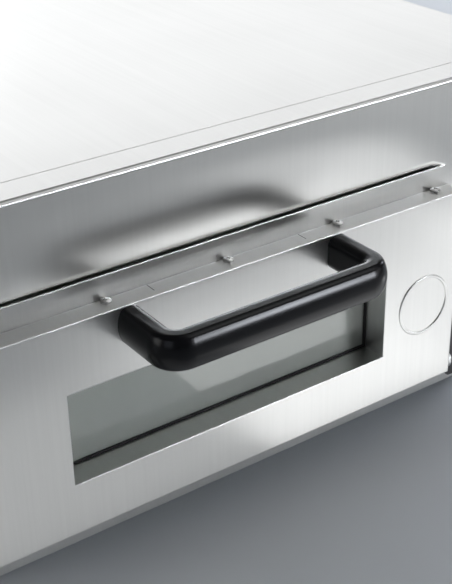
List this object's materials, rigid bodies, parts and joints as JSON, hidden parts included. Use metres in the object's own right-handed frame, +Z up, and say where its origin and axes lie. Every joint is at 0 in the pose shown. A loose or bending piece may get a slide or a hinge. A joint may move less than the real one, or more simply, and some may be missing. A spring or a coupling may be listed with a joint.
{
  "type": "electric pizza oven",
  "caption": "Countertop stainless deck oven for pizza with a drop-down glazed front door, bow handle, baking stone and side controls.",
  "frame": {"origin": "centre of the oven's bounding box on the table, under the feet", "axes": "+X to the right seen from the front, +Y from the door to the back, +Z up"},
  "size_m": [0.5748, 0.5518, 0.324],
  "materials": {
    "housing_steel": "fine brushed stainless, soft sheen",
    "inner_sheet": "plain galvanised sheet",
    "chamber_steel": "aluminised sheet, heat tinted",
    "panel_black": "satin black",
    "stone": "fired refractory stone, open pores",
    "element_sheath": "dark heat-oxidised sheath",
    "wool": "ceramic fibre blanket",
    "case_plastic": "moulded thermoset",
    "spindle_steel": "turned and pressed zinc-plated steel",
    "knob_black": "satin moulded",
    "copper_tube": "drawn copper",
    "switch_black": "fine spark texture",
    "switch_red": "gloss moulded",
    "lamp_lens": "clear amber moulding",
    "foot_rubber": "matt moulded",
    "screw_steel": "bright plated",
    "window_glass": "clear tempered, faint green",
    "gasket_black": "matt sealing felt",
    "spacer_steel": "plain strip",
    "handle_gloss": "polished black thermoset"
  },
  "bodies": {
    "root": {"base_pan": "inner_sheet", "front_fascia": "housing_steel", "wrap_cover": "housing_steel", "rear_panel": "housing_steel", "control_plate": "panel_black", "heat_shield": "inner_sheet", "chamber_shell": "chamber_steel", "stone_rails": "chamber_steel", "baking_stone": "stone", "upper_element": "element_sheath", "lower_element": "element_sheath", "element_hangers": "chamber_steel", "insulation_top": "wool", "insulation_bottom": "wool", "insulation_left": "wool", "insulation_right": "wool", "insulation_rear": "wool", "upper_thermostat": "case_plastic", "lower_thermostat": "case_plastic", "timer": "case_plastic", "upper_sensor": "copper_tube", "lower_sensor": "copper_tube", "control_bracket": "inner_sheet", "switch_housing": "switch_black", "pilot_lamps": "lamp_lens", "terminal_block": "case_plastic", "cable_gland": "switch_black", "foot_front_left": "foot_rubber", "foot_front_right": "foot_rubber", "foot_rear_left": "foot_rubber", "foot_rear_right": "foot_rubber", "foot_screws": "screw_steel", "hinge_bracket_left": "spindle_steel", "hinge_bracket_right": "spindle_steel", "hinge_pins": "spindle_steel", "cover_screws": "screw_steel", "rear_screws": "screw_steel", "bracket_screws": "screw_steel"},
    "door": {"bearing_blocks": "spindle_steel", "door_skin": "housing_steel", "door_inner": "inner_sheet", "door_insulation": "wool", "outer_glass": "window_glass", "inner_glass": "window_glass", "glass_gasket": "gasket_black", "glass_clamps": "spacer_steel", "handle": "handle_gloss", "handle_screws": "screw_steel", "door_screws": "screw_steel"},
    "upper_dial": {"upper_spindle": "spindle_steel", "upper_knob": "knob_black"},
    "lower_dial": {"lower_spindle": "spindle_steel", "lower_knob": "knob_black"},
    "timer_dial": {"timer_spindle": "spindle_steel", "timer_knob": "knob_black"},
    "rocker": {"switch_rocker": "switch_red"}
  },
  "joints": [
    {"name": "door_hinge", "type": "hinge", "parent": "root", "child": "door", "pos_m": [-0.054, -0.2077, 0.076], "axis": [1, 0, 0], "range_deg": [0, 90]},
    {"name": "upper_dial_turn", "type": "hinge", "parent": "root", "child": "upper_dial", "pos_m": [0.228, -0.2008, 0.224], "axis": [0, 1, 0], "range_deg": [0, 300]},
    {"name": "lower_dial_turn", "type": "hinge", "parent": "root", "child": "lower_dial", "pos_m": [0.228, -0.2008, 0.16], "axis": [0, 1, 0], "range_deg": [0, 300]},
    {"name": "timer_dial_turn", "type": "hinge", "parent": "root", "child": "timer_dial", "pos_m": [0.228, -0.2008, 0.096], "axis": [0, 1, 0], "range_deg": [0, 300]},
    {"name": "rocker_tilt", "type": "hinge", "parent": "root", "child": "rocker", "pos_m": [0.228, -0.1968, 0.288], "axis": [-1, 0, 0], "range_deg": [0, 18]}
  ]
}
